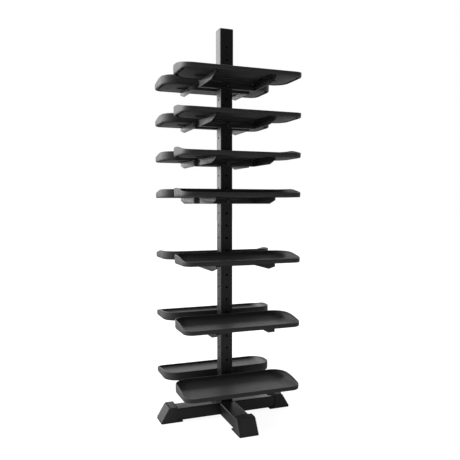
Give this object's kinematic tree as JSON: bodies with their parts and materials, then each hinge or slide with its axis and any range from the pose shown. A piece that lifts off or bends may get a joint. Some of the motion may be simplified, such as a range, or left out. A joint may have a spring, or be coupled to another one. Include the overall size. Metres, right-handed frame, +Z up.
{
  "type": "dumbbell rack",
  "caption": "Free-standing two-sided dumbbell rack: a square perforated upright on a cross base with rubber feet, carrying tiers of moulded trays on bolted forked brackets.",
  "frame": {"origin": "on the floor, under the axis of the upright", "axes": "+Z up along the upright; X along the length of the trays; -Y is the front, the side the front trays stand out to"},
  "size_m": [0.666, 0.636, 1.8603],
  "materials": {
    "post_powder_coat": "satin black powder coat on steel tube",
    "base_powder_coat": "satin black powder coat on steel tube",
    "header_powder_coat": "satin black powder coat on steel tube",
    "bracket_powder_coat": "satin black powder coat on steel plate and tube",
    "tray_plastic": "fine moulded grain",
    "cap_plastic": "fine moulded grain",
    "foot_rubber": "matt moulded rubber",
    "bolt_black_zinc": "black zinc plate"
  },
  "bodies": {
    "root": {"cross_beam": "base_powder_coat", "front_leg": "base_powder_coat", "rear_leg": "base_powder_coat", "rubber_foot_left": "foot_rubber", "rubber_foot_right": "foot_rubber", "rubber_foot_front": "foot_rubber", "rubber_foot_back": "foot_rubber", "upright_post": "post_powder_coat", "header_sleeve": "header_powder_coat", "header_top_cap": "cap_plastic", "bracket_1_front": "bracket_powder_coat", "tray_1_front": "tray_plastic", "bracket_1_back": "bracket_powder_coat", "tray_1_back": "tray_plastic", "tier_bolt_1": "bolt_black_zinc", "tier_nut_1": "bolt_black_zinc", "bracket_2_front": "bracket_powder_coat", "tray_2_front": "tray_plastic", "bracket_2_back": "bracket_powder_coat", "tray_2_back": "tray_plastic", "tier_bolt_2": "bolt_black_zinc", "tier_nut_2": "bolt_black_zinc", "bracket_3_front": "bracket_powder_coat", "tray_3_front": "tray_plastic", "bracket_3_back": "bracket_powder_coat", "tray_3_back": "tray_plastic", "tier_bolt_3": "bolt_black_zinc", "tier_nut_3": "bolt_black_zinc", "bracket_4_front": "bracket_powder_coat", "tray_4_front": "tray_plastic", "bracket_4_back": "bracket_powder_coat", "tray_4_back": "tray_plastic", "tier_bolt_4": "bolt_black_zinc", "tier_nut_4": "bolt_black_zinc", "bracket_5_front": "bracket_powder_coat", "tray_5_front": "tray_plastic", "bracket_5_back": "bracket_powder_coat", "tray_5_back": "tray_plastic", "tier_bolt_5": "bolt_black_zinc", "tier_nut_5": "bolt_black_zinc", "bracket_6_front": "bracket_powder_coat", "tray_6_front": "tray_plastic", "bracket_6_back": "bracket_powder_coat", "tray_6_back": "tray_plastic", "tier_bolt_6": "bolt_black_zinc", "tier_nut_6": "bolt_black_zinc", "bracket_7_front": "bracket_powder_coat", "tray_7_front": "tray_plastic", "bracket_7_back": "bracket_powder_coat", "tray_7_back": "tray_plastic", "tier_bolt_7": "bolt_black_zinc", "tier_nut_7": "bolt_black_zinc"}
  },
  "joints": []
}
